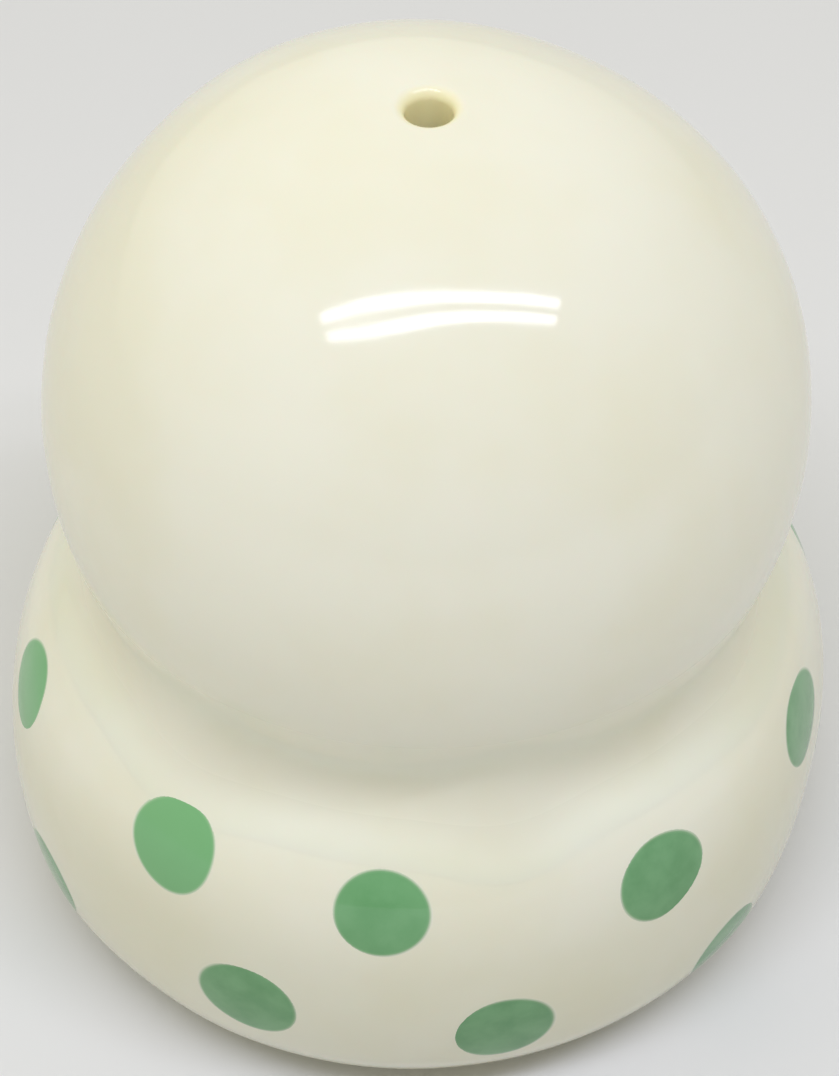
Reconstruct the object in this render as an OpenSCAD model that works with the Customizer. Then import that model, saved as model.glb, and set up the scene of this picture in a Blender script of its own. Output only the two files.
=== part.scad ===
// Ceramic flower frog: a hollow glazed ball with one stem hole at its crown,
// joined by a soft fillet to a fat collar that carries two rows of green dots.
// Z = 0 is the plane it stands on; the Z axis runs through the ball and the stem hole.

/* [Ball] */
// Outside diameter of the hollow ball
ball_d = 60; // [58:0.5:62]
// Wall thickness of the ball
ball_wall = 4.2; // [3.5:0.1:5]
// Height of the ball's centre above the table
ball_h = 48; // [47.5:0.1:48.5]
// Diameter of the stem hole at the crown
stem_hole_d = 4.2; // [3.5:0.1:6]
// Radius of the glazed lip round the stem hole
stem_lip_r = 0.8; // [0.4:0.1:1.2]
// Diameter of the drain hole at the bottom of the ball
drain_hole_d = 16; // [12:0.5:18]
// How much of the ball's bottom is trimmed flat round the drain hole
drain_flat = 1.8; // [1.8:0.1:2.4]

/* [Collar] */
// Outside diameter of the collar at its widest
collar_d = 70.9; // [70.5:0.1:71.5]
// Wall thickness of the hollow collar
collar_wall = 4; // [3.5:0.1:4.5]
// Radius of the collar's rounded shoulder
shoulder_r = 12; // [11:0.5:13]
// Radius of the bulging outer wall
bulge_r = 30.5; // [30:0.5:31]
// Radius of the tuck between the wall and the foot
tuck_r = 10.6; // [10.4:0.1:11]
// Height of the collar's widest point above the table
bulge_h = 13.4; // [13.2:0.1:13.6]
// Diameter of the opening in the collar's base
base_opening_d = 42; // [36:1:46]

/* [Seam] */
// Radius of the soft fillet of slip and glaze between ball and collar
seam_r = 5.5; // [4.5:0.5:7]

/* [Dots] */
// Diameter of one dot
dot_d = 7.8; // [6:0.1:8.5]
// Thickness of the colour layer that makes a dot
dot_depth = 0.4; // [0.3:0.1:0.8]

/* [Bung] */
// Radial clearance of the bung in the drain hole
bung_gap = 0.05; // [0.03:0.01:0.1]
// How far the bung's plug stands up from the ball's flat
bung_plug_h = 4.8; // [4:0.1:6]
// Diameter of the bung's flange
bung_flange_d = 19.6; // [18.6:0.1:20]
// Thickness of the bung's flange
bung_flange_t = 1.6; // [1.2:0.1:2]
// Diameter of the knob that the bung is pulled by
bung_knob_d = 6.4; // [5:0.1:8]
// Height of the pull knob below the flange
bung_knob_h = 3.6; // [3:0.1:4.5]

/* [Hidden] */

$fn = 180;
eps = 0.01;
reach = 100;                // longer than the object in any direction
arc_step = 6;               // angle between neighbouring points of a drawn arc

cream = [0.94, 0.92, 0.82];
seam_cream = [0.90, 0.86, 0.70];
dot_green = [0.42, 0.66, 0.44];
rubber_grey = [0.78, 0.77, 0.74];

lip_sink = 0.1;             // the lip's top lies this far below the ball's full height
seam_bite = 0.12;           // the fillet's circle cuts this far into ball and shoulder
cutter_play = 1;            // how far a dot's cutter sticks out of the surface
bung_round_r = 0.9;         // radius of the bung's rounded edges
knob_neck = 0.7;            // the knob's neck as a share of its radius
past_crest = 121;           // the shoulder's arc goes on to here, inside the ball

ball_r = ball_d / 2;
stem_hole_r = stem_hole_d / 2;
drain_hole_r = drain_hole_d / 2;
drain_z = ball_h - ball_r + drain_flat;

// The collar's outline is three arcs, each tangent to the next: shoulder, wall and tuck.
// A place on it is named by the direction that it faces, in degrees above the
// horizontal: shoulder_turn where shoulder and wall meet, and tuck_turn where wall
// and tuck meet.
shoulder_turn = 22;
tuck_turn = -10;
bulge_c = [collar_d / 2 - bulge_r, bulge_h];
shoulder_c = bulge_c + (bulge_r - shoulder_r) * facing(shoulder_turn);
tuck_c = bulge_c + (bulge_r - tuck_r) * facing(tuck_turn);
foot_turn = -asin(tuck_c[1] / tuck_r);

// Each dot is [azimuth, facing]: azimuth turns from the front (-Y) towards +X, and
// facing is the direction that the surface faces at its centre.
// The front ones are placed by hand and the rest follow at an even pitch.
upper_front = [[-75, 22], [-36, 24], [-5.5, 22.6], [35, 18], [72, 17]];
lower_front = [[-61, -8], [-23, -1], [11, -3], [48, -12]];
dots_in_row = 10;
upper_row = concat(upper_front, round_the_back(upper_front, 20));
lower_row = concat(lower_front, round_the_back(lower_front, -5));

// The dots that carry a row on from its last front dot round to its first.
function round_the_back(front, f) =
    let (last = front[len(front) - 1][0],
         gaps = dots_in_row - len(front) + 1,
         pitch = (front[0][0] + 360 - last) / gaps)
    [for (i = [1 : gaps - 1]) [last + i * pitch, f]];

function facing(a) = [cos(a), sin(a)];
function arc(centre, r, from, to) =
    let (n = max(2, ceil(abs(to - from) / arc_step)))
    [for (i = [0 : n]) centre + r * facing(from + (to - from) * i / n)];

// The collar's outline moved inwards by t, from inside the ball down to facing last.
function outline(t, last) = concat(
    arc(shoulder_c, shoulder_r - t, past_crest, shoulder_turn),
    arc(bulge_c, bulge_r - t, shoulder_turn, tuck_turn),
    arc(tuck_c, tuck_r - t, tuck_turn, last));
function backwards(points) = [for (i = [len(points) - 1 : -1 : 0]) points[i]];

// A solid of revolution with the collar's outer surface moved inwards by t.
module collar_core(t) {
    points = outline(t, foot_turn);
    rotate_extrude()
        polygon(concat(points, [[0, t], [0, points[0][1]]]));
}

// The collar's wall and foot in section: both of its faces end on the ball.
module collar_section() {
    inner = backwards(outline(collar_wall, -90));
    base = [[base_opening_d / 2, 0], [base_opening_d / 2, inner[0][1]]];
    difference() {
        polygon(concat(outline(0, foot_turn), base, inner));
        translate([0, ball_h])
            circle(r = ball_r);
    }
}

// The place and the direction of one dot on the collar's outer surface.
function arc_centre(f) = f > shoulder_turn ? shoulder_c : f > tuck_turn ? bulge_c : tuck_c;
function arc_radius(f) = f > shoulder_turn ? shoulder_r : f > tuck_turn ? bulge_r : tuck_r;

module dot_cutters(row) {
    for (d = row) {
        at = arc_centre(d[1]) + arc_radius(d[1]) * facing(d[1]);
        rotate([0, 0, d[0] - 90])
            translate([at[0], 0, at[1]])
                rotate([0, 90 - d[1], 0])
                    cylinder(d = dot_d, h = 2 * (dot_depth + cutter_play), center = true);
    }
}

module dots(row) {
    difference() {
        intersection() {
            collar_core(0);
            dot_cutters(row);
        }
        collar_core(dot_depth);
    }
}

// The hollow ball, with its stem hole, its rounded lip and its drain hole.
module ball_shell() {
    lip_c = [stem_hole_r + stem_lip_r, ball_h + ball_r - stem_lip_r - lip_sink];
    color(cream)
        rotate_extrude()
            difference() {
                translate([0, ball_h])
                    circle(r = ball_r);
                translate([0, ball_h])
                    circle(r = ball_r - ball_wall);
                translate([-reach, -reach])
                    square([reach, 2 * reach]);
                translate([-eps, ball_h])
                    square([stem_hole_r + eps, reach]);
                difference() {
                    translate([0, lip_c[1]])
                        square([lip_c[0], 2 * stem_lip_r]);
                    translate(lip_c)
                        circle(r = stem_lip_r);
                }
                translate([-eps, 0])
                    square([reach, drain_z]);
                translate([-eps, 0])
                    square([drain_hole_r + eps, ball_h]);
            }
}

// The hollow collar: the ball sits in its mouth and it stands on its foot.
module collar_ring() {
    color(cream)
        difference() {
            rotate_extrude()
                collar_section();
            difference() {
                union() {
                    dot_cutters(upper_row);
                    dot_cutters(lower_row);
                }
                collar_core(dot_depth);
            }
        }
}

// The ring of slip and glaze that fills the valley between ball and collar.
module seam_fillet() {
    to_shoulder = shoulder_c - [0, ball_h];
    span = norm(to_shoulder);
    from_ball = ball_r + seam_r - seam_bite;
    from_shoulder = shoulder_r + seam_r - seam_bite;
    along = (span * span + from_ball * from_ball - from_shoulder * from_shoulder) / (2 * span);
    aside = sqrt(from_ball * from_ball - along * along);
    u = to_shoulder / span;
    seam_c = [0, ball_h] + along * u + aside * [-u[1], u[0]];
    color(seam_cream)
        rotate_extrude()
            difference() {
                polygon([[0, ball_h], shoulder_c, seam_c]);
                translate([0, ball_h])
                    circle(r = ball_r);
                translate(shoulder_c)
                    circle(r = shoulder_r);
                translate(seam_c)
                    circle(r = seam_r);
            }
}

module upper_dots() {
    color(dot_green)
        dots(upper_row);
}

module lower_dots() {
    color(dot_green)
        dots(lower_row);
}

// The soft bung that closes the drain hole, drawn pushed home.
module base_bung() {
    plug_r = drain_hole_r - bung_gap;
    flange_r = bung_flange_d / 2;
    knob_r = bung_knob_d / 2;
    round_r = bung_round_r;
    plug_top = drain_z + bung_plug_h;
    flange_foot = drain_z - bung_flange_t;
    knob_foot = flange_foot - bung_knob_h;
    color(rubber_grey)
        rotate_extrude()
            polygon(concat(
                [[0, plug_top]],
                arc([plug_r - round_r, plug_top - round_r], round_r, 90, 0),
                [[plug_r, drain_z], [flange_r, drain_z]],
                arc([flange_r - round_r, flange_foot + round_r], round_r, 0, -90),
                [[knob_r * knob_neck, flange_foot]],
                arc([knob_r - round_r, knob_foot + round_r], round_r, 0, -90),
                [[0, knob_foot]]));
}

ball_shell();
collar_ring();
seam_fillet();
upper_dots();
lower_dots();
base_bung();
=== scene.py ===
"""Looks of a glazed ceramic flower frog: a hollow ball in a fat collar with green dots.

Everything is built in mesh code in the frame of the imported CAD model: metres, +Z up,
the table at Z = 0. Azimuth turns from the front (-Y) towards +X, and facing is the
direction that an outline faces, as an angle above the horizontal.
"""
import math

import bmesh
import bpy
import numpy as np
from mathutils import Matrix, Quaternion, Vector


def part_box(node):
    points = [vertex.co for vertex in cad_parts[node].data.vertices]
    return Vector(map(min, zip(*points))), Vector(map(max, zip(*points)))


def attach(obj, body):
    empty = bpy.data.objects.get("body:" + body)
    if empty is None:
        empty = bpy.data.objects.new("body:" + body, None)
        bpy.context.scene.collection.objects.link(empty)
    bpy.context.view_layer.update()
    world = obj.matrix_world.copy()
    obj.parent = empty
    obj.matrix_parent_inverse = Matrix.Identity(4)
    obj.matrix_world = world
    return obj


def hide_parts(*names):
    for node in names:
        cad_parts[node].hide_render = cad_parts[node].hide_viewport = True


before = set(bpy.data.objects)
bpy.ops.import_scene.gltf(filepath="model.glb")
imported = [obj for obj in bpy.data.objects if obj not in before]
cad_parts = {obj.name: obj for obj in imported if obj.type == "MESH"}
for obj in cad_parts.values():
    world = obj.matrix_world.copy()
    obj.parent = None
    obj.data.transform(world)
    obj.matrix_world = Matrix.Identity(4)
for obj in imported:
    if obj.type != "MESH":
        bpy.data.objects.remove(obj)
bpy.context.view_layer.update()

# ---------------------------------------------------------------- sizes
MM = 0.001
AROUND = 384                     # points round each ring
SAME_PLACE = 1e-7                # points closer than this are one, in metres

ball_low, ball_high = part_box("ball_shell")
collar_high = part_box("collar_ring")[1]
bung_low, bung_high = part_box("base_bung")

LIP_SINK = 0.1 * MM              # the stem hole's lip lies this far below the ball's pole
BALL_R = ball_high.x
BALL_Z = ball_high.z - BALL_R + LIP_SINK
BALL_WALL = 4.2 * MM
STEM_R = 1.75 * MM
LIP_R = 0.9 * MM
DRAIN_R = 8 * MM
DRAIN_Z = ball_low.z
DRAIN_EDGE_R = 0.5 * MM

# The collar's outline is a shoulder, a bulging wall and a tuck, each tangent to the next.
COLLAR_PLAY = 0.55 * MM                       # its mean radius is this much under the CAD one
COLLAR_R = collar_high.x - COLLAR_PLAY
BULGE_Z = 13.4 * MM                           # height of the widest place
COLLAR_WALL = 4 * MM
SHOULDER_R = 12 * MM
WALL_R = 30.5 * MM
TUCK_R = 10.6 * MM
SHOULDER_TURN = math.radians(22)              # facing where shoulder meets wall
TUCK_TURN = math.radians(-10)                 # facing where wall meets tuck
SKIN_TOP = math.radians(84)                   # the collar's skin ends inside the ball
INSIDE_TOP = math.radians(100)                # and so does the face of its hollow
FOOT_OPENING_R = 21 * MM
FOOT_EDGE_R = 1.0 * MM
FOOT_INSET = 1.2 * MM                         # clears the inward sway of the uneven foot

FILLET_R = 5.4 * MM


def facing(angle):
    return np.array([np.cos(angle), np.sin(angle)])


wall_c = np.array([COLLAR_R - WALL_R, BULGE_Z])
shoulder_c = wall_c + (WALL_R - SHOULDER_R) * facing(SHOULDER_TURN)
tuck_c = wall_c + (WALL_R - TUCK_R) * facing(TUCK_TURN)
FOOT_TURN = -math.asin(tuck_c[1] / TUCK_R)


def ramp(x, start, end):
    """A soft step from 0 where x is start to 1 where x is end, whichever is larger."""
    t = np.clip((x - start) / (end - start), 0, 1)
    return t * t * (3 - 2 * t)


def bell(x, centre, width):
    return np.exp(-0.5 * ((x - centre) / width) ** 2)


def bells(azimuth, table):
    """The sum of bells round the axis, from rows of [azimuth, width, height].

    Azimuth and width are in degrees."""
    total = 0 * azimuth
    for centre, width, height in table:
        turn = (np.degrees(azimuth) - centre + 180) % 360 - 180
        total = total + height * bell(turn, 0, width)
    return total


def ripples(points, wavelength, seed, waves=12):
    """A smooth random field of about unit size over points, from plane waves."""
    rng = np.random.default_rng(seed)
    ways = rng.normal(size=(waves, 3))
    ways /= np.linalg.norm(ways, axis=1)[:, None]
    lengths = wavelength * rng.uniform(0.7, 1.5, waves)
    phases = rng.uniform(0, 2 * math.pi, waves)
    parts = [np.sin(points @ w * (2 * math.pi / s) + p)
             for w, s, p in zip(ways, lengths, phases)]
    return sum(parts) * math.sqrt(2 / waves)


# ---------------------------------------------------------------- outlines
def arc(centre, radius, start, end, steps):
    """Points of an arc from facing start to facing end, in radians."""
    a = np.linspace(start, end, steps)
    return np.stack([centre[0] + radius * np.cos(a), centre[1] + radius * np.sin(a)], 1)


def line(start, end, steps):
    t = np.linspace(0, 1, steps)[:, None]
    return (1 - t) * np.array(start) + t * np.array(end)


def chain(*parts):
    """Joins runs of points, leaving out points that repeat."""
    points = np.concatenate(parts)
    step = np.linalg.norm(np.diff(points, axis=0), axis=1)
    points = points[np.concatenate([[True], step > SAME_PLACE])]
    if np.linalg.norm(points[0] - points[-1]) < SAME_PLACE:
        points = points[:-1]
    return points


azimuths = np.linspace(0, 2 * math.pi, AROUND, endpoint=False)


def place(r, azimuth, z):
    """Points r from the axis and z above the table."""
    return np.stack([r * np.sin(azimuth), -r * np.cos(azimuth), z + 0 * azimuth], -1)


def revolve(outline):
    """Turns an outline of [distance from axis, height] into a grid of points."""
    return place(outline[:, 0, None], azimuths, outline[:, 1, None])


# ---------------------------------------------------------------- meshes
SHARP_ANGLE = math.radians(40)


def build(name, grids, material, body, slot, nodes, closed=True, **fields):
    """Makes one piece of grids of points [along, around, xyz].

    closed joins each grid's last row to its first. fields are point attributes, each a
    list of arrays that match the grids."""
    points, faces, start = [], [], 0
    for grid in grids:
        rows, columns = grid.shape[:2]
        index = start + np.arange(rows * columns).reshape(rows, columns)
        ahead = np.roll(index, -1, axis=0) if closed else index[1:]
        here = index if closed else index[:-1]
        faces.append(np.stack([here, np.roll(here, -1, 1), np.roll(ahead, -1, 1), ahead],
                              -1).reshape(-1, 4))
        points.append(grid.reshape(-1, 3))
        start += rows * columns
    mesh = bpy.data.meshes.new(name)
    mesh.from_pydata(np.concatenate(points).tolist(), [], np.concatenate(faces).tolist())
    for field, values in fields.items():
        layer = mesh.attributes.new(field, "FLOAT", "POINT")
        flat = np.concatenate([v.reshape(-1) for v in values]).astype(np.float32)
        layer.data.foreach_set("value", flat)
    bm = bmesh.new()
    bm.from_mesh(mesh)
    bmesh.ops.remove_doubles(bm, verts=bm.verts, dist=SAME_PLACE)
    bmesh.ops.recalc_face_normals(bm, faces=bm.faces)
    bm.to_mesh(mesh)
    bm.free()
    mesh.shade_smooth()
    mesh.set_sharp_from_angle(angle=SHARP_ANGLE)
    mesh.materials.append(material)
    piece = bpy.data.objects.new(name, mesh)
    bpy.context.scene.collection.objects.link(piece)
    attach(piece, body)
    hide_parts(*nodes)


# ---------------------------------------------------------------- materials
class Surface:
    """A material of nodes with a Principled shader."""

    def __init__(self, name, **settings):
        self.material = bpy.data.materials.new(name)
        self.material.use_nodes = True
        self.tree = self.material.node_tree
        self.shader = self.tree.nodes["Principled BSDF"]
        self.place = self.add("ShaderNodeTexCoord").outputs["Object"]
        for socket, value in settings.items():
            self.shader.inputs[socket.replace("_", " ")].default_value = value

    def add(self, kind, inputs=None, **properties):
        node = self.tree.nodes.new(kind)
        for key, value in properties.items():
            setattr(node, key, value)
        for key, value in (inputs or {}).items():
            if isinstance(value, bpy.types.NodeSocket):
                self.tree.links.new(value, node.inputs[key])
            else:
                node.inputs[key].default_value = value
        return node

    def feed(self, socket, value):
        self.tree.links.new(value, self.shader.inputs[socket])

    def noise(self, size, detail=3.0):
        """Noise with blotches of about size metres."""
        node = self.add("ShaderNodeTexNoise",
                        {"Vector": self.place, "Scale": 1 / size, "Detail": detail,
                         "Roughness": 0.5})
        return node.outputs["Fac"]

    def remap(self, value, low, high, to_low=0.0, to_high=1.0):
        node = self.add("ShaderNodeMapRange",
                        {"Value": value, "From Min": low, "From Max": high,
                         "To Min": to_low, "To Max": to_high}, interpolation_type="SMOOTHSTEP")
        return node.outputs["Result"]

    def mix(self, share, first, second, blend="MIX"):
        node = self.add("ShaderNodeMix", data_type="RGBA", blend_type=blend)
        colours = [s for s in node.inputs if s.type == "RGBA"]
        for socket, value in ((node.inputs[0], share), (colours[0], first), (colours[1], second)):
            if isinstance(value, bpy.types.NodeSocket):
                self.tree.links.new(value, socket)
            else:
                socket.default_value = value
        return next(s for s in node.outputs if s.type == "RGBA")

    def math(self, operation, first, second=0.0):
        node = self.add("ShaderNodeMath", {0: first, 1: second}, operation=operation)
        return node.outputs[0]

    def shade_low(self, colour):
        """Painted shade: the colour grows darker low on the collar, towards the table."""
        split = self.add("ShaderNodeSeparateXYZ", {0: self.place})
        low = self.remap(split.outputs["Z"], *LOW_SHADE_HEIGHTS, 1.0, 0.0)
        return self.mix(low, colour, self.mix(1.0, colour, LOW_SHADE, blend="MULTIPLY"))

    def field(self, name):
        return self.add("ShaderNodeAttribute", attribute_name=name).outputs["Fac"]

    def bump(self, height, distance, strength):
        node = self.add("ShaderNodeBump", {"Height": height, "Distance": distance,
                                           "Strength": strength})
        self.feed("Normal", node.outputs["Normal"])


def rgb(r, g, b):
    """A colour given as it looks on a screen, from 0 to 255, as linear light."""
    def linear(c):
        c /= 255
        return c / 12.92 if c <= 0.04045 else ((c + 0.055) / 1.055) ** 2.4
    return (linear(r), linear(g), linear(b), 1.0)


CREAM = rgb(243, 241, 223)
CREAM_WARM = rgb(240, 237, 214)
POOLED = rgb(238, 231, 203)
BISQUE = rgb(232, 226, 208)
# The stem hole's yellow-tan glaze, made paler than its own colour: painted light in the shaded
# bore.
HOLE_TAN_AND_LIGHT = rgb(253, 246, 202)
GREEN = rgb(118, 172, 121)
GREEN_DEEP = rgb(98, 156, 102)
GREEN_LIGHT = rgb(126, 188, 128)
# Painted shade for the low part of the collar and its dots, as a multiplier of their colour.
LOW_SHADE = (0.9, 0.9, 0.875, 1.0)
LOW_SHADE_HEIGHTS = (18 * MM, 27 * MM)   # the heights between which the painted shade fades in, going down
CLOUD = 0.016                    # sizes of the glaze's unevenness, in metres
GLOSS_PATCH = 0.004
PIMPLE = 0.0022
PIMPLE_RISE = 0.00002
SOFT_GLOSS = 0.36                # roughness in the valley, where the glaze ran together
RAW_GLOSS = 0.75                 # roughness of unglazed clay


def glaze_colour(surface):
    """Cream glaze with faint warm clouds, pooled yellow where the glaze ran thick."""
    clouds = surface.remap(surface.noise(CLOUD), 0.35, 0.7)
    colour = surface.mix(clouds, CREAM, CREAM_WARM)
    colour = surface.mix(surface.field("pooled"), colour, POOLED)
    # Inside the stem hole: its tan glaze, partly painted light.
    return surface.mix(surface.field("stain"), colour, HOLE_TAN_AND_LIGHT)


def cream_glaze():
    s = Surface("cream_glaze", IOR=1.5, Specular_IOR_Level=0.33,
                Subsurface_Weight=0.06, Subsurface_Scale=0.002)
    colour = glaze_colour(s)
    # The low collar gets painted shade.
    colour = s.mix(s.field("raw"), s.shade_low(colour), BISQUE)
    s.feed("Base Color", colour)
    gloss = s.remap(s.noise(GLOSS_PATCH), 0.3, 0.7, 0.07, 0.1)
    gloss = s.math("MAXIMUM", gloss, s.math("MULTIPLY", s.field("soft"), SOFT_GLOSS))
    s.feed("Roughness", s.math("MAXIMUM", gloss, s.math("MULTIPLY", s.field("raw"), RAW_GLOSS)))
    s.bump(s.noise(PIMPLE, 2.0), PIMPLE_RISE, 0.35)
    return s.material


def green_glaze():
    s = Surface("green_glaze", IOR=1.5)
    brushed = s.remap(s.noise(0.003, 4.0), 0.3, 0.75)
    green = s.mix(s.field("light"), s.mix(brushed, GREEN, GREEN_DEEP), GREEN_LIGHT)
    # The low dots get painted shade too.
    s.feed("Base Color", s.shade_low(s.mix(s.field("rim"), green, CREAM)))
    s.feed("Roughness", s.remap(s.noise(GLOSS_PATCH), 0.3, 0.7, 0.05, 0.09))
    s.bump(s.noise(PIMPLE, 2.0), PIMPLE_RISE, 0.35)
    return s.material


def rubber():
    s = Surface("bung_rubber", Subsurface_Weight=0.15, Subsurface_Scale=0.003)
    s.feed("Base Color", s.mix(s.noise(0.003, 5.0), rgb(214, 212, 202), rgb(196, 193, 181)))
    s.feed("Roughness", s.remap(s.noise(0.0008), 0.3, 0.7, 0.42, 0.6))
    s.bump(s.noise(0.0005, 4.0), 0.00003, 0.4)
    return s.material


cream = cream_glaze()
green = green_glaze()

# ---------------------------------------------------------------- ball
# Places where the thrown ball is not quite round: [direction, width in degrees, height].
BALL_DENTS = [
    [(0.339, 0.567, 0.750), 15, -0.42 * MM],
    [(-0.496, 0.516, 0.698), 9, 0.20 * MM],
    [(0.932, 0.150, 0.329), 14, 0.14 * MM],
]
SKIN_DEPTH = 0.2 * MM            # points nearer the true sphere than this are its outside
HOLLOW_DEPTH = 2 * MM            # points deeper than this and below HOLLOW_TOP are its hollow
HOLLOW_TOP = 20 * MM             # as a height above the ball's middle
HOLLOW_RAW = 0.6                 # how thin the glaze is in the hollow, from 0 to 1
GLAZE_WAVE = 0.01 * MM           # how far the glaze lies in and out of true
BALL_WAVELENGTH = 8 * MM
RELIEF_LOW = (-17, -5)           # elevations on the ball between which the relief sets in
RELIEF_TOP = (86, 78)            # and below the stem hole's lip
VALLEY = (-2, -18)               # elevations between which its gloss softens to the valley's


def ball_outline():
    """The section of the hollow ball, from the stem hole's lip round and back."""
    outer = BALL_R
    inner = BALL_R - BALL_WALL
    lip_x = STEM_R + LIP_R
    lip_z = math.sqrt((outer - LIP_R) ** 2 - lip_x ** 2)
    lip_tilt = math.atan2(lip_z, lip_x)
    edge_z = DRAIN_Z - BALL_Z + DRAIN_EDGE_R
    edge_x = math.sqrt((outer - DRAIN_EDGE_R) ** 2 - edge_z ** 2)
    edge_tilt = math.atan2(edge_z, edge_x)
    hole_x = DRAIN_R + DRAIN_EDGE_R
    inner_top = math.acos(STEM_R / inner)
    inner_low = -math.acos(DRAIN_R / inner)
    bore_foot = inner * math.sin(inner_top)
    return chain(
        arc((lip_x, lip_z), LIP_R, math.pi, lip_tilt, 14),
        arc((0, 0), outer, lip_tilt, edge_tilt, 176),
        arc((edge_x, edge_z), DRAIN_EDGE_R, edge_tilt, -math.pi / 2, 5),
        line((edge_x, DRAIN_Z - BALL_Z), (hole_x, DRAIN_Z - BALL_Z), 3),
        arc((hole_x, edge_z), DRAIN_EDGE_R, -math.pi / 2, -math.pi, 5),
        line((DRAIN_R, edge_z), (DRAIN_R, inner * math.sin(inner_low)), 5),
        arc((0, 0), inner, inner_low, inner_top, 24),
        line((STEM_R, bore_foot), (STEM_R, lip_z), 8)) + [0, BALL_Z]


def ball_relief(points):
    """How far the real ball stands proud of a true sphere at each point."""
    ways = points - [0, 0, BALL_Z]
    ways = ways / np.linalg.norm(ways, axis=-1)[..., None]
    relief = np.zeros(ways.shape[:-1])
    for direction, width, height in BALL_DENTS:
        angle = np.arccos(np.clip(ways @ np.array(direction), -1, 1))
        relief += height * bell(angle, 0, math.radians(width))
    relief += GLAZE_WAVE * ripples(points, BALL_WAVELENGTH, seed=4)
    elevation = np.degrees(np.arcsin(np.clip(ways[..., 2], -1, 1)))
    return relief * ramp(elevation, *RELIEF_LOW) * ramp(elevation, *RELIEF_TOP)


outline = ball_outline()
points = revolve(outline)
from_centre = points - [0, 0, BALL_Z]
distance = np.linalg.norm(from_centre, axis=-1)
on_skin = distance > BALL_R - SKIN_DEPTH
relief = np.where(on_skin, ball_relief(points), 0)
points = points + from_centre / distance[..., None] * relief[..., None]
radius = np.hypot(points[..., 0], points[..., 1])
height = points[..., 2] - BALL_Z
bore = (radius < STEM_R + LIP_R) & (height > 0)
# The bore's tan glaze, with painted light that brightens the shaded inside of the hole.
stain = np.where(bore, ramp(radius, STEM_R + LIP_R, STEM_R), 0)
in_hollow = (distance < BALL_R - HOLLOW_DEPTH) & (height < HOLLOW_TOP)
raw = np.where(in_hollow, HOLLOW_RAW, 0)
soft = ramp(np.degrees(np.arcsin(height / distance)), *VALLEY)
build("ball", [points], cream, "frog_body", "cream_glaze", ["ball_shell"],
      stain=[stain], raw=[raw], soft=[soft])

# ---------------------------------------------------------------- collar
# How far the hand-finished collar stands out beyond its mean: [azimuth, width, height].
COLLAR_SWELLS = [
    [75, 10, -0.38 * MM],
    [104, 12, 0.5 * MM],
    [-62, 10, 0.2 * MM],
    [-42, 8, -0.12 * MM],
    [160, 14, 0.2 * MM],
    [-145, 12, -0.2 * MM],
]
COLLAR_SHIFT = 0.4 * MM          # the collar sits this far off the axis, towards -X
COLLAR_OVAL = 0.3 * MM           # and is this much out of round on its diagonals
NECK_SHARE = 0.75                # the neck keeps this much of the swell of the wall below
NECK = (36, 14)                  # facings between which the swell grows to the whole
COLLAR_WAVELENGTH = 9 * MM
COLLAR_WAVE = 0.6 * GLAZE_WAVE
CALM_NECK = (42, 22)             # facings between which the waves set in below the fillet
CALM_FOOT = (0, 3 * MM)          # and heights above the foot
RAW_FOOT = (1.1 * MM, 0.3 * MM)  # heights between which the glaze gives way to bare clay


def collar_swell(azimuth):
    sway = -COLLAR_SHIFT * np.sin(azimuth) - COLLAR_OVAL * np.sin(2 * azimuth)
    return sway + bells(azimuth, COLLAR_SWELLS)


def swell_share(turn):
    return NECK_SHARE + (1 - NECK_SHARE) * ramp(np.degrees(turn), *NECK)


def collar_outline(turn):
    """[distance from the axis, height] where the collar's outline faces turn."""
    on_top, on_tuck = turn > SHOULDER_TURN, turn < TUCK_TURN
    radius = np.where(on_top, SHOULDER_R, np.where(on_tuck, TUCK_R, WALL_R))
    r = np.where(on_top, shoulder_c[0], np.where(on_tuck, tuck_c[0], wall_c[0]))
    z = np.where(on_top, shoulder_c[1], np.where(on_tuck, tuck_c[1], wall_c[1]))
    return r + radius * np.cos(turn), z + radius * np.sin(turn)


def collar_point(azimuth, turn):
    """The points of the collar's outer surface."""
    r, z = collar_outline(turn)
    r = r + swell_share(turn) * collar_swell(azimuth)
    return place(r, azimuth, z)


def collar_inside():
    """The rest of the collar's section: foot, base opening and hollow."""
    foot_r = tuck_c[0] + TUCK_R * math.cos(FOOT_TURN)
    top_z = tuck_c[1] - TUCK_R + COLLAR_WALL
    edge_r = FOOT_OPENING_R + FOOT_EDGE_R
    return chain(
        line((foot_r - FOOT_INSET, 0), (edge_r, 0), 8),
        arc((edge_r, FOOT_EDGE_R), FOOT_EDGE_R, -math.pi / 2, -math.pi, 6),
        line((FOOT_OPENING_R, FOOT_EDGE_R), (FOOT_OPENING_R, top_z - FOOT_EDGE_R), 3),
        arc((edge_r, top_z - FOOT_EDGE_R), FOOT_EDGE_R, math.pi, math.pi / 2, 6),
        arc(tuck_c, TUCK_R - COLLAR_WALL, -math.pi / 2, TUCK_TURN, 12),
        arc(wall_c, WALL_R - COLLAR_WALL, TUCK_TURN, SHOULDER_TURN, 14),
        arc(shoulder_c, SHOULDER_R - COLLAR_WALL, SHOULDER_TURN, INSIDE_TOP, 12))


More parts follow.
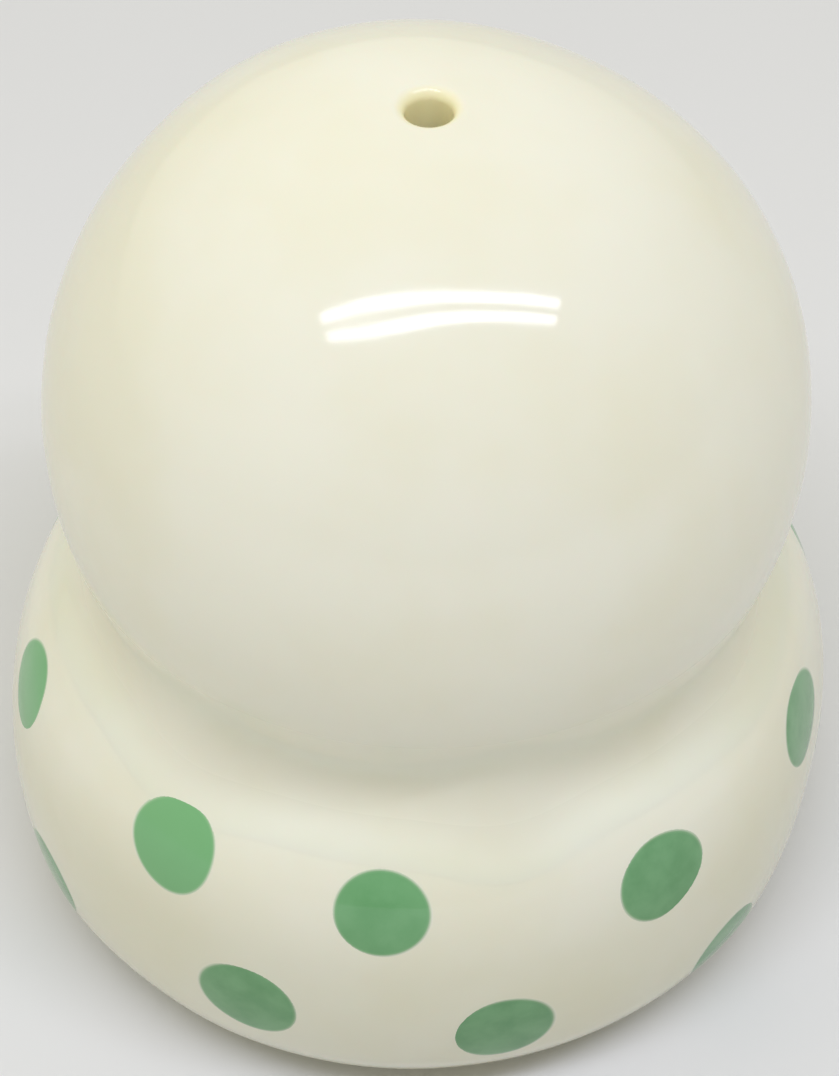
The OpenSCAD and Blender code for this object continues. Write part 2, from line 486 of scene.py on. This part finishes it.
turns = np.concatenate([
    np.linspace(SKIN_TOP, SHOULDER_TURN, 40)[:-1],
    np.linspace(SHOULDER_TURN, TUCK_TURN, 44)[:-1],
    np.linspace(TUCK_TURN, FOOT_TURN, 26)])
skin = collar_point(azimuths[None, :], turns[:, None])
calm = ramp(np.degrees(turns), *CALM_NECK)[:, None] * ramp(skin[..., 2], *CALM_FOOT)
outwards = place(np.cos(turns)[:, None], azimuths, np.sin(turns)[:, None])
waves = ripples(skin, COLLAR_WAVELENGTH, seed=8)
skin = skin + outwards * (COLLAR_WAVE * waves * calm)[..., None]
inside = revolve(collar_inside())
grid = np.concatenate([skin, inside])
raw = ramp(grid[..., 2], *RAW_FOOT)
build("collar", [grid], cream, "frog_body", "cream_glaze", ["collar_ring"], raw=[raw])

# ---------------------------------------------------------------- seam
SEAM_STEPS = 64
SEAM_EASE = 0.8 * MM             # how gently the fillet's curve starts and ends
SEAM_REACH = 2.5 * SEAM_EASE     # how far it runs out over ball and shoulder
SEAM_PROUD = 0.003 * MM          # its edges stand this much proud, so that no facet covers them
SEAM_POOLED = 0.15               # how yellow the glaze is in the middle of the fillet
SEAM_SOFT = (1, 0.6)             # where across it the gloss softens to the valley's
# Soft creases where the fillet is wider: [azimuth, width, extra radius].
SEAM_CREASES = [
    [13, 7, 4.6 * MM],
    [63, 8, 2.0 * MM],
    [115, 9, 1.6 * MM],
    [166, 8, 2.2 * MM],
    [-142, 9, 1.8 * MM],
    [-91, 8, 1.4 * MM],
    [-39, 7, 3.6 * MM],
]


def turn_of(direction):
    """The angle of each direction, from 0 to a full turn."""
    return np.arctan2(direction[:, 1], direction[:, 0]) % (2 * math.pi)


def seam_grid():
    """The concave fillet between ball and shoulder, with its root in the valley.

    Also gives how far across the fillet each row lies: 0 at the ball and 1 at the shoulder."""
    fillet = FILLET_R + bells(azimuths, SEAM_CREASES)
    swell = NECK_SHARE * collar_swell(azimuths)
    to_shoulder = np.stack([shoulder_c[0] + swell, shoulder_c[1] - BALL_Z + 0 * swell], -1)
    span = np.linalg.norm(to_shoulder, axis=-1)
    along = to_shoulder / span[:, None]
    across = np.stack([-along[:, 1], along[:, 0]], -1)

    def meeting(from_ball, from_shoulder):
        """The point at these distances from the centres of ball and shoulder."""
        a = (span ** 2 + from_ball ** 2 - from_shoulder ** 2) / (2 * span)
        b = np.sqrt(from_ball ** 2 - a ** 2)
        return a[:, None] * along + b[:, None] * across

    # Easing a curve of radius R moves it inwards by SEAM_EASE ** 2 / 2 R: made up for here.
    ball_r = BALL_R + SEAM_EASE ** 2 / (2 * BALL_R) + SEAM_PROUD
    shoulder_r = SHOULDER_R + SEAM_EASE ** 2 / (2 * SHOULDER_R) + SEAM_PROUD
    centre = meeting(ball_r + fillet, shoulder_r + fillet)
    at_ball = turn_of(-centre)
    at_shoulder = turn_of(to_shoulder - centre)
    length = fillet * (at_shoulder - at_ball)

    def path(s):
        """The section, s along it from where the ball ends and the fillet begins."""
        on_ball = at_ball - math.pi - s / ball_r
        on_fillet = at_ball + s / fillet
        on_shoulder = at_shoulder - math.pi - (s - length) / shoulder_r
        pick = [s < 0, s < length]
        return [np.select(pick, [ball_r * turn(on_ball), centre[:, i] + fillet * turn(on_fillet)],
                          to_shoulder[:, i] + shoulder_r * turn(on_shoulder))
                for i, turn in enumerate((np.cos, np.sin))]

    t = np.linspace(0, 1, SEAM_STEPS)[:, None]
    s = (1 - t) * -SEAM_REACH + t * (length + SEAM_REACH)
    # Each point is the mean of the path round it, weighted by a bell SEAM_EASE wide.
    offsets = np.linspace(-3, 3, 25)
    weights = bell(offsets, 0, 1) / bell(offsets, 0, 1).sum()
    r, z = sum(w * np.array(path(s + k * SEAM_EASE)) for w, k in zip(weights, offsets))
    root = meeting(BALL_R + 0 * fillet, SHOULDER_R + 0 * fillet)
    r = np.concatenate([r, root[None, :, 0]])
    z = np.concatenate([z, root[None, :, 1]]) + BALL_Z
    share = np.concatenate([s / length, 0 * length[None, :]])
    return place(r, azimuths, z), np.clip(share, 0, 1)


grid, across_seam = seam_grid()
pooled = SEAM_POOLED * np.sin(math.pi * across_seam)
soft = ramp(across_seam, *SEAM_SOFT)
build("seam", [grid], cream, "frog_body", "seam_glaze", ["seam_fillet"],
      pooled=[pooled], soft=[soft])

# ---------------------------------------------------------------- dots
# The dots in front, one by one: [azimuth, facing, radius in mm, flattening towards +azimuth,
# how light the green is].
UPPER_FRONT = [
    [-74.7, 19.8, 4.0, 0.1, 0.8],
    [-36.2, 24.8, 4.3, 0.12, 0.9],
    [-5.4, 22.6, 3.97, 0, 0.35],
    [35.0, 17.7, 4.2, -0.08, 0.1],
    [71.9, 15.6, 4.1, -0.25, 0],
]
LOWER_FRONT = [
    [-61.2, -7.7, 4.2, 0, 0],
    [-23.2, -0.5, 4.4, 0, 0.1],
    [11.1, -3.4, 4.4, 0, 0],
    [48.5, -13.0, 4.2, 0, 0],
]
DOTS_IN_ROW = 10
DOT_RINGS = 20
DOT_SPOKES = 72
BACK_DOT_R = 3.85                # radius and lightness of the dots round the back
BACK_DOT_LIGHT = 0.3
UPPER_BACK_TURN = 20             # and their facings
LOWER_BACK_TURN = -5
DOT_RISE = 0.05 * MM             # how far a dot's middle stands proud, and how deep it goes
DOT_SINK = 0.12 * MM
DOT_RIM_SINK = 0.01 * MM         # its rim lies this far under the glaze
DOT_FADE = 0.9                   # where a dot's colour starts to thin out
DOT_WOBBLE = 0.008               # how far its hand-painted edge strays, as a share of its radius

outline_turns = np.linspace(SKIN_TOP, FOOT_TURN, 2000)
outline_r, outline_z = collar_outline(outline_turns)
outline_run = np.concatenate([[0], np.cumsum(np.hypot(np.diff(outline_r), np.diff(outline_z)))])


def round_the_back(front, turn):
    """The dots that carry a row on from its last front dot round to its first."""
    gaps = DOTS_IN_ROW - len(front) + 1
    pitch = (front[0][0] + 360 - front[-1][0]) / gaps
    return [[front[-1][0] + i * pitch, turn, BACK_DOT_R, 0, BACK_DOT_LIGHT]
            for i in range(1, gaps)]


def dot_grid(azimuth, turn, radius, flat, light, rng):
    """A thin lens of colour that follows the collar's surface."""
    spoke = np.linspace(0, 2 * math.pi, DOT_SPOKES, endpoint=False)
    edge = radius * MM * (1 - flat * np.maximum(np.sin(spoke), 0) ** 2
                          + DOT_WOBBLE * np.sin(2 * spoke + rng.uniform(0, 6))
                          + DOT_WOBBLE * np.sin(3 * spoke + rng.uniform(0, 6)))
    out = np.sin(np.linspace(0, math.pi / 2, DOT_RINGS))
    share = np.concatenate([out, out[-2::-1]])[:, None]
    run0 = np.interp(-math.radians(turn), -outline_turns, outline_run)
    reach = share * edge
    run = run0 - reach * np.cos(spoke)
    facings = np.interp(run, outline_run, outline_turns)
    r = np.interp(run, outline_run, outline_r)
    azimuth = math.radians(azimuth) + reach * np.sin(spoke) / r
    top = np.arange(len(share))[:, None] < DOT_RINGS
    lift = np.where(top, DOT_RISE * (1 - share ** 6), -DOT_SINK * (1 - share ** 2)) - DOT_RIM_SINK
    outwards = place(np.cos(facings), azimuth, np.sin(facings))
    points = collar_point(azimuth, facings) + outwards * lift[..., None]
    rim = ramp(share, DOT_FADE, 1) + 0 * reach
    return points, rim, light + 0 * rim


def dots(name, node, front, back_turn, seed):
    """Makes one row of dots, which stands for the CAD node."""
    rng = np.random.default_rng(seed)
    row = [dot_grid(*dot, rng) for dot in front + round_the_back(front, back_turn)]
    grids, rims, lights = zip(*row)
    build(name, grids, green, "frog_body", "green_glaze", [node],
          closed=False, rim=rims, light=lights)


dots("dots_upper", "upper_dots", UPPER_FRONT, UPPER_BACK_TURN, seed=1)
dots("dots_lower", "lower_dots", LOWER_FRONT, LOWER_BACK_TURN, seed=2)

# ---------------------------------------------------------------- bung
PLUG_R = 7.95 * MM
PLUG_TOP_R = PLUG_R - 2.2 * MM   # the evenly spaced points of the plug's top end here
GROOVE_DEPTH = 0.12 * MM         # the plug's fine sealing grooves
GROOVE_PITCH = 1.3 * MM
GROOVE_FOOT = 0.4 * MM           # how far above the flange they end
FLANGE_R = bung_high.x
FLANGE_T = 1.6 * MM
FLANGE_FOOT_R = FLANGE_R - 1.6 * MM           # and those of the flange's underside start here
ROUND_R = 0.6 * MM               # radius of the rounded edges
KNOB_R = 3.2 * MM
KNOB_NECK_R = KNOB_R * 0.72
KNOB_HOLLOW_R = 1.3 * MM         # radius of the hollow between flange and neck
DIMPLE_R = 1.4 * MM              # the knob's dimpled foot
DIMPLE_FLOOR_R = DIMPLE_R * 0.7
DIMPLE_DEPTH = 0.35 * MM
flange_z = DRAIN_Z - FLANGE_T


def bung_outline():
    """The section of the bung, from the plug's top down to the knob's foot."""
    top, foot = bung_high.z, bung_low.z
    rib = np.linspace(top - ROUND_R, DRAIN_Z + GROOVE_FOOT, 40)
    groove = PLUG_R - GROOVE_DEPTH * np.sin(math.pi * (rib - DRAIN_Z) / GROOVE_PITCH) ** 2
    knob_z = foot + ROUND_R * 1.6
    return chain(
        line((0, top), (PLUG_TOP_R, top), 6),
        arc((PLUG_R - ROUND_R, top - ROUND_R), ROUND_R, math.pi / 2, 0, 6),
        np.stack([groove, rib], 1),
        line((PLUG_R - 0.05 * MM, DRAIN_Z), (FLANGE_R - ROUND_R, DRAIN_Z), 4),
        arc((FLANGE_R - ROUND_R, DRAIN_Z - ROUND_R), ROUND_R, math.pi / 2, 0, 6),
        arc((FLANGE_R - ROUND_R, flange_z + ROUND_R), ROUND_R, 0, -math.pi / 2, 6),
        line((FLANGE_FOOT_R, flange_z), (KNOB_R + 0.4 * MM, flange_z), 6),
        arc((KNOB_R + 0.5 * MM, flange_z - KNOB_HOLLOW_R), KNOB_HOLLOW_R,
            math.pi / 2, math.pi, 8),
        line((KNOB_NECK_R, flange_z - 1.5 * MM), (KNOB_R, knob_z + 0.3 * MM), 4),
        arc((KNOB_R - ROUND_R, foot + ROUND_R), ROUND_R, 0, -math.pi / 2, 6),
        line((DIMPLE_R + 0.3 * MM, foot), (DIMPLE_R, foot), 2),
        line((DIMPLE_FLOOR_R, foot + 0.3 * MM), (0, foot + DIMPLE_DEPTH), 3))


build("bung", [revolve(bung_outline())], rubber(), "bung", "bung_rubber", ["base_bung"],
      closed=False)

# ---------------------------------------------------------------- floor and light


def pale_floor():
    s = Surface("pale_floor", Roughness=0.9)
    s.feed("Base Color", s.mix(s.noise(0.05, 4.0), rgb(226, 226, 226), rgb(223, 223, 223)))
    return s.material


FLOOR_HALF = 1.5
mesh = bpy.data.meshes.new("floor")
mesh.from_pydata([(x * FLOOR_HALF, y * FLOOR_HALF, 0) for x, y in
                  ((-1, -1), (1, -1), (1, 1), (-1, 1))], [], [(0, 1, 2, 3)])
mesh.materials.append(pale_floor())
floor = bpy.data.objects.new("floor", mesh)
bpy.context.scene.collection.objects.link(floor)

# Two long overhead tubes make the double highlight on the ball.
TUBE_LENGTH = 1.12
TUBE_WIDTH = 0.058
TUBE_POWER = 2.85
TUBE_COLOUR = (0.97, 1.0, 1.16)
TUBE_HEIGHT = 0.9
TUBE_TURN = math.radians(6.4)
for name, x, y in (("tube_back", 0.075, -0.235), ("tube_front", 0.083, -0.338)):
    lamp = bpy.data.lights.new(name, "AREA")
    lamp.shape = "RECTANGLE"
    lamp.size, lamp.size_y = TUBE_LENGTH, TUBE_WIDTH
    lamp.energy = TUBE_POWER
    lamp.color = TUBE_COLOUR
    light = bpy.data.objects.new(name, lamp)
    light.location = (x, y, TUBE_HEIGHT)
    light.rotation_euler = (0, 0, TUBE_TURN)
    bpy.context.scene.collection.objects.link(light)

# The studio round it glows evenly, a little more towards some sides than others.
SKY_LEVEL = 0.55
SKY_SLOPE = (-0.16, 0.14, 0.0)   # how much the glow grows towards +X, +Y and +Z
SKY_COLOUR = (1.03, 1.0, 0.83, 1)
FRONT_SHADE = 0.25               # how much darker it is straight in front, where a viewer stands
FRONT_WAY = (0.0, -1.0, 0.0)

world = bpy.data.worlds.new("studio")
bpy.context.scene.world = world
world.use_nodes = True
tree = world.node_tree
ways = tree.nodes.new("ShaderNodeTexCoord").outputs["Generated"]


def world_node(kind, operation, *inputs):
    node = tree.nodes.new(kind)
    node.operation = operation
    for socket, value in zip(node.inputs, inputs):
        if isinstance(value, bpy.types.NodeSocket):
            tree.links.new(value, socket)
        else:
            socket.default_value = value
    return node.outputs["Value"]


def towards(direction):
    return world_node("ShaderNodeVectorMath", "DOT_PRODUCT", ways, direction)


glow = world_node("ShaderNodeMath", "ADD", towards(SKY_SLOPE), SKY_LEVEL)
front = world_node("ShaderNodeMath", "MAXIMUM", towards(FRONT_WAY), 0.0)
in_front = world_node("ShaderNodeMath", "MULTIPLY", front, front)
shade = world_node("ShaderNodeMath", "MULTIPLY", in_front, FRONT_SHADE)
strength = world_node("ShaderNodeMath", "SUBTRACT", glow, shade)
tree.nodes["Background"].inputs["Color"].default_value = SKY_COLOUR
tree.links.new(strength, tree.nodes["Background"].inputs["Strength"])

# ---------------------------------------------------------------- camera
CAMERA_DISTANCE = 8 * BALL_R
CAMERA_ELEVATION = math.radians(44.77)
CAMERA_PITCH = math.radians(47.28)
CAMERA_ROLL = math.radians(0.5)
CAMERA_SIDE = -0.42 * MM
SENSOR, LENS = 36, 102.17        # both in millimetres, as Blender takes them
data = bpy.data.cameras.new("camera")
data.sensor_width, data.lens = SENSOR, LENS
data.dof.use_dof = False
data.clip_start, data.clip_end = 0.01, 50
camera = bpy.data.objects.new("camera", data)
camera.location = (CAMERA_SIDE, -CAMERA_DISTANCE * math.cos(CAMERA_ELEVATION),
                   BALL_Z + CAMERA_DISTANCE * math.sin(CAMERA_ELEVATION))
camera.rotation_mode = "XYZ"
camera.rotation_euler = (math.pi / 2 - CAMERA_PITCH, 0, 0)
camera.rotation_mode = "QUATERNION"
camera.rotation_quaternion = (
    camera.rotation_euler.to_quaternion() @ Quaternion((0, 0, 1), CAMERA_ROLL))
bpy.context.scene.collection.objects.link(camera)
bpy.context.scene.camera = camera
bpy.context.scene.view_settings.view_transform = "Standard"
